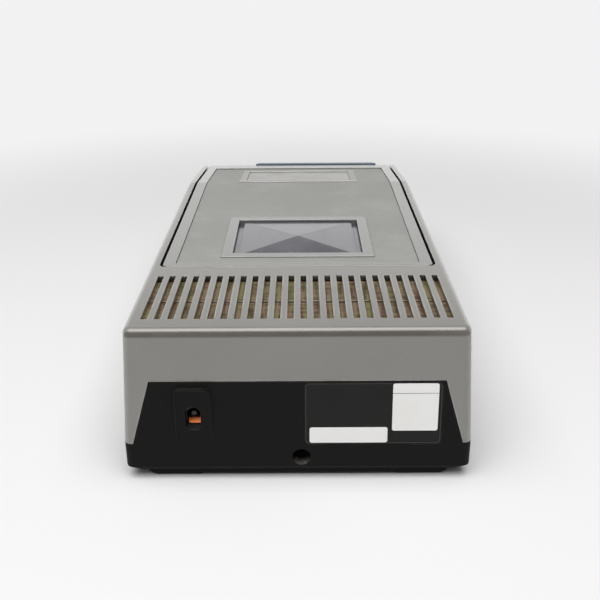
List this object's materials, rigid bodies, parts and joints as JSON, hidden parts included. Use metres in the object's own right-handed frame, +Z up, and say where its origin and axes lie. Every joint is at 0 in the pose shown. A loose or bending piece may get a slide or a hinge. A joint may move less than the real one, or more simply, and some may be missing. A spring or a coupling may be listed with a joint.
{
  "type": "video cassette rewinder",
  "caption": "Desktop video cassette rewinder with a vent grille, a hinged lid with a smoked window, an eject bar, a cassette well with splined reel hubs and a rear power jack.",
  "frame": {"origin": "on the surface that the rewinder stands on, under the middle of its bounding box", "axes": "+Z up, +Y towards the rear panel with the power jack, -Y towards the eject bar; seen from behind, +X is to the left"},
  "size_m": [0.1404, 0.2906, 0.066],
  "materials": {
    "housing_plastic": "satin moulded grey plastic",
    "base_plastic": "fine-grained black plastic",
    "rubber_foot": "matte moulded rubber",
    "brown_board": "pressed brown fibre board",
    "lid_plastic": "satin moulded grey plastic",
    "dress_sheet": "painted thin sheet",
    "bezel_plastic": "satin moulded grey plastic",
    "smoked_acrylic": "smoked clear plastic",
    "badge_metal": "brushed rim",
    "badge_face": "satin plate, bare",
    "blue_grey_plastic": "satin blue-grey plastic",
    "jack_plastic": "glossy black plastic",
    "copper": "copper alloy strip",
    "nickel": "nickel plate",
    "label_print": "satin printed foil",
    "white_sticker": "matte paper",
    "blackened_steel": "blackened screw steel",
    "zinc_steel": "zinc plated steel",
    "spring_steel": "spring steel",
    "nylon": "natural nylon",
    "white_acetal": "white acetal",
    "felt": "red-brown felt",
    "belt_rubber": "smooth black rubber",
    "motor_can": "plated steel can",
    "brass": "turned brass",
    "board_laminate": "phenolic circuit board",
    "capacitor_sleeve": "printed plastic sleeve",
    "transistor_body": "moulded epoxy",
    "resistor_body": "lacquered carbon film",
    "switch_plastic": "glossy black plastic",
    "deck_plastic": "grained black plastic"
  },
  "bodies": {
    "housing": {"top_housing": "housing_plastic", "bottom_housing": "base_plastic", "feet": "rubber_foot", "grille_board": "brown_board", "lid_spring_left": "spring_steel", "lid_spring_right": "spring_steel", "deck_tray": "deck_plastic", "reel_shafts": "zinc_steel", "thrust_washers": "nylon", "hub_retainers": "nylon", "drag_felt": "felt", "drive_belt": "belt_rubber", "motor": "motor_can", "motor_bracket": "zinc_steel", "circuit_board": "board_laminate", "capacitor": "capacitor_sleeve", "driver_transistor": "transistor_body", "resistors": "resistor_body", "dc_jack": "jack_plastic", "jack_pin": "nickel", "jack_contact": "copper", "switch_body": "switch_plastic", "latch_pin": "zinc_steel", "eject_spring": "spring_steel", "housing_screws": "zinc_steel", "deck_screws": "zinc_steel", "motor_screws": "zinc_steel", "board_screws": "zinc_steel", "rear_screw": "blackened_steel", "rear_label": "label_print", "label_stickers": "white_sticker"},
    "lid": {"lid_shell": "lid_plastic", "lid_panel": "dress_sheet", "window_bezel": "bezel_plastic", "window_lens": "smoked_acrylic", "badge_frame": "badge_metal", "badge_plate": "badge_face", "hold_down_springs": "spring_steel", "hinge_pins": "zinc_steel"},
    "eject_bar": {"eject_bar": "blue_grey_plastic"},
    "drive_hub": {"drive_hub": "white_acetal", "belt_wheel": "nylon"},
    "motor_rotor": {"motor_shaft": "zinc_steel", "motor_pulley": "brass"},
    "idler_hub": {"idler_hub": "white_acetal"},
    "start_plunger": {"switch_plunger": "white_acetal"}
  },
  "joints": [
    {"name": "lid_hinge", "type": "hinge", "parent": "housing", "child": "lid", "pos_m": [0, 0.06855, 0.0606], "axis": [-1, 0, 0], "range_deg": [0, 65], "deforming": ["lid_spring_left", "lid_spring_right"]},
    {"name": "eject_rock", "type": "hinge", "parent": "housing", "child": "eject_bar", "pos_m": [-0.012, -0.13345, 0.0465], "axis": [1, 0, 0], "range_deg": [0, 14], "stiffness_Nm_per_rad": 0.06, "springref_deg": -5.73, "deforming": ["eject_spring"]},
    {"name": "drive_spin", "type": "hinge", "parent": "housing", "child": "drive_hub", "pos_m": [0.0055, 0.019, 0], "axis": [0, 0, 1], "continuous": true},
    {"name": "motor_spin", "type": "hinge", "parent": "housing", "child": "motor_rotor", "pos_m": [-0.022, 0.10805, 0], "axis": [0, 0, 1], "continuous": true},
    {"name": "idler_spin", "type": "hinge", "parent": "housing", "child": "idler_hub", "pos_m": [0.0055, -0.0734, 0], "axis": [0, 0, 1], "continuous": true},
    {"name": "start_press", "type": "slide", "parent": "housing", "child": "start_plunger", "axis": [0, 0, 1], "range_m": [-0.0026, 0], "stiffness_N_per_m": 60, "springref_m": 0.002}
  ],
  "couplings": [
    {"joint": "motor_spin", "follows": "drive_spin", "ratio": 5.8913}
  ]
}
